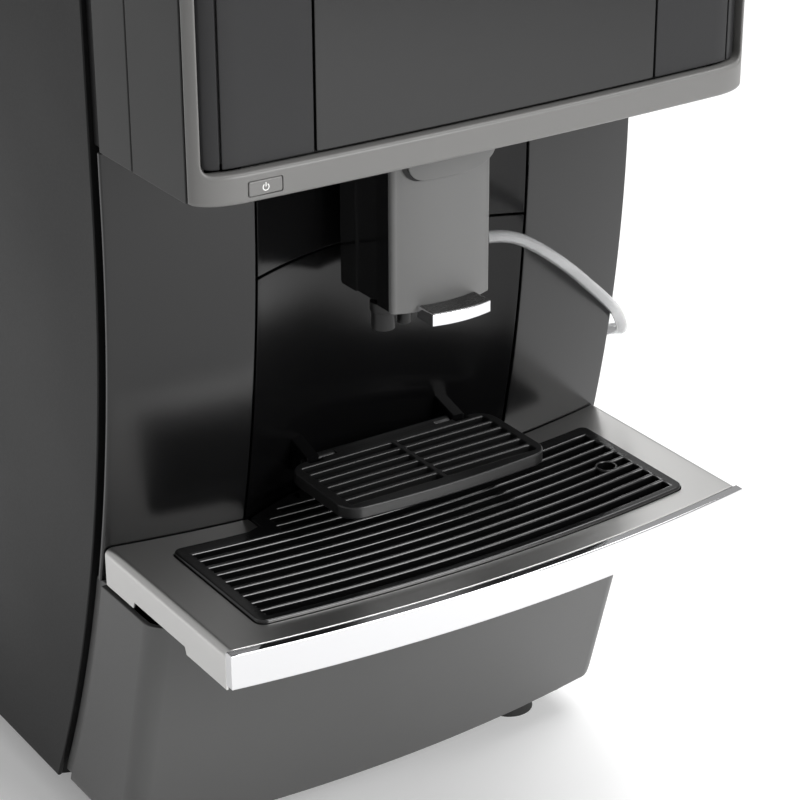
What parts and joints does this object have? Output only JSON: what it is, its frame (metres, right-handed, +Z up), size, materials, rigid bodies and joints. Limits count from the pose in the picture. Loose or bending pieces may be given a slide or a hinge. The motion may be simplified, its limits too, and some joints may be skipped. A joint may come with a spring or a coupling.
{
  "type": "bean to cup coffee machine",
  "caption": "Countertop bean to cup coffee machine with height-adjustable spout, milk hose, drip tray with fold-up cup platform, grounds drawer, water tank and bean hopper.",
  "frame": {"origin": "centre of the footprint on the surface the machine stands on", "axes": "+Z up, -Y towards the user in front, +X to the user's right"},
  "size_m": [0.3257, 0.45, 0.58],
  "materials": {
    "satin_black": "satin",
    "gloss_black": "gloss",
    "anthracite": "satin",
    "dark_grey": "fine textured",
    "steel": "brushed",
    "chrome": "polished",
    "zinc": "zinc plated sheet",
    "rubber": "matt",
    "silicone": "translucent silicone",
    "smoked": "see-through smoked",
    "board": "lacquered",
    "aluminium": "cast"
  },
  "bodies": {
    "housing": {"base_pan": "zinc", "tray_shelf": "zinc", "front_bulkhead": "zinc", "middle_deck": "zinc", "foot_front_left": "rubber", "foot_front_right": "rubber", "foot_rear_left": "rubber", "foot_rear_right": "rubber", "side_panel_left": "satin_black", "side_panel_right": "satin_black", "rear_panel": "satin_black", "mains_inlet": "gloss_black", "pillar_left": "satin_black", "pillar_right": "satin_black", "bay_upper_panel": "satin_black", "bay_lower_panel": "gloss_black", "head_frame": "anthracite", "inset_panel_left": "dark_grey", "inset_panel_right": "dark_grey", "display_glass": "gloss_black", "display_carrier": "satin_black", "control_board": "board", "head_cover_left": "anthracite", "head_cover_right": "anthracite", "head_underside": "satin_black", "spout_collar": "dark_grey", "spout_guide": "gloss_black", "top_cover": "satin_black", "bean_hopper": "smoked", "powder_chute": "satin_black", "grinder": "aluminium", "brew_unit": "satin_black", "boiler": "steel", "water_pump": "aluminium", "milk_hose": "silicone", "milk_inlet": "gloss_black"},
    "spout": {"spout_cover": "dark_grey", "spout_body": "gloss_black", "spout_lip": "chrome", "coffee_outlet": "gloss_black", "hot_water_nozzle": "gloss_black", "milk_port": "gloss_black"},
    "power_button": {"power_button": "anthracite"},
    "drip_tray": {"tray_top": "steel", "tray_front_bar": "chrome", "drip_basin": "satin_black"},
    "grille": {"grille": "gloss_black"},
    "tray_float": {"tray_float": "anthracite"},
    "cup_platform": {"cup_platform": "gloss_black"},
    "grounds_drawer": {"lower_front_panel": "dark_grey", "drawer_floor": "zinc", "grounds_container": "smoked"},
    "hopper_lid": {"hopper_lid": "satin_black"},
    "powder_lid": {"powder_lid": "satin_black"},
    "water_tank": {"water_tank": "smoked"},
    "tank_lid": {"tank_lid": "satin_black"},
    "main_switch": {"main_switch": "gloss_black"},
    "grind_dial": {"grind_dial": "gloss_black"},
    "grinder_burr": {"grinder_burr": "steel"},
    "brew_piston": {"brew_piston": "gloss_black"}
  },
  "joints": [
    {"name": "spout_slide", "type": "slide", "parent": "housing", "child": "spout", "axis": [0, 0, 1], "range_m": [-0.03, 0.035], "deforming": ["milk_hose"]},
    {"name": "power_button_press", "type": "slide", "parent": "housing", "child": "power_button", "axis": [0, 1, 0], "range_m": [0, 0.0015], "stiffness_N_per_m": 300},
    {"name": "drip_tray_slide", "type": "slide", "parent": "housing", "child": "drip_tray", "axis": [0, -1, 0], "range_m": [0, 0.15]},
    {"name": "grille_lift", "type": "slide", "parent": "drip_tray", "child": "grille", "axis": [0, 0, 1], "range_m": [0, 0.012]},
    {"name": "float_rise", "type": "slide", "parent": "drip_tray", "child": "tray_float", "axis": [0, 0, 1], "range_m": [0, 0.006]},
    {"name": "platform_fold", "type": "hinge", "parent": "housing", "child": "cup_platform", "pos_m": [0, -0.1066, 0.2176], "axis": [-1, 0, 0], "range_deg": [0, 75]},
    {"name": "grounds_drawer_slide", "type": "slide", "parent": "housing", "child": "grounds_drawer", "axis": [0, -1, 0], "range_m": [0, 0.15]},
    {"name": "hopper_lid_hinge", "type": "hinge", "parent": "housing", "child": "hopper_lid", "pos_m": [0.06, 0.1986, 0.5614], "axis": [-1, 0, 0], "range_deg": [0, 85]},
    {"name": "powder_lid_hinge", "type": "hinge", "parent": "housing", "child": "powder_lid", "pos_m": [-0.002, -0.0024, 0.5614], "axis": [-1, 0, 0], "range_deg": [0, 85]},
    {"name": "water_tank_lift", "type": "slide", "parent": "housing", "child": "water_tank", "axis": [0, 0, 1], "range_m": [0, 0.12]},
    {"name": "tank_lid_hinge", "type": "hinge", "parent": "water_tank", "child": "tank_lid", "pos_m": [-0.094, 0.2116, 0.5614], "axis": [-1, 0, 0], "range_deg": [0, 85]},
    {"name": "main_switch_rock", "type": "hinge", "parent": "housing", "child": "main_switch", "pos_m": [0.066, 0.219, 0.075], "axis": [1, 0, 0], "range_deg": [-8, 8]},
    {"name": "grind_dial_turn", "type": "hinge", "parent": "housing", "child": "grind_dial", "pos_m": [0.108, -0.03, 0.5563], "axis": [0, 0, 1], "range_deg": [-150, 150]},
    {"name": "grinder_burr_spin", "type": "hinge", "parent": "housing", "child": "grinder_burr", "pos_m": [0.06, 0.114, 0.409], "axis": [0, 0, 1], "continuous": true},
    {"name": "brew_piston_slide", "type": "slide", "parent": "housing", "child": "brew_piston", "axis": [0, 0, 1], "range_m": [0, 0.05]}
  ]
}
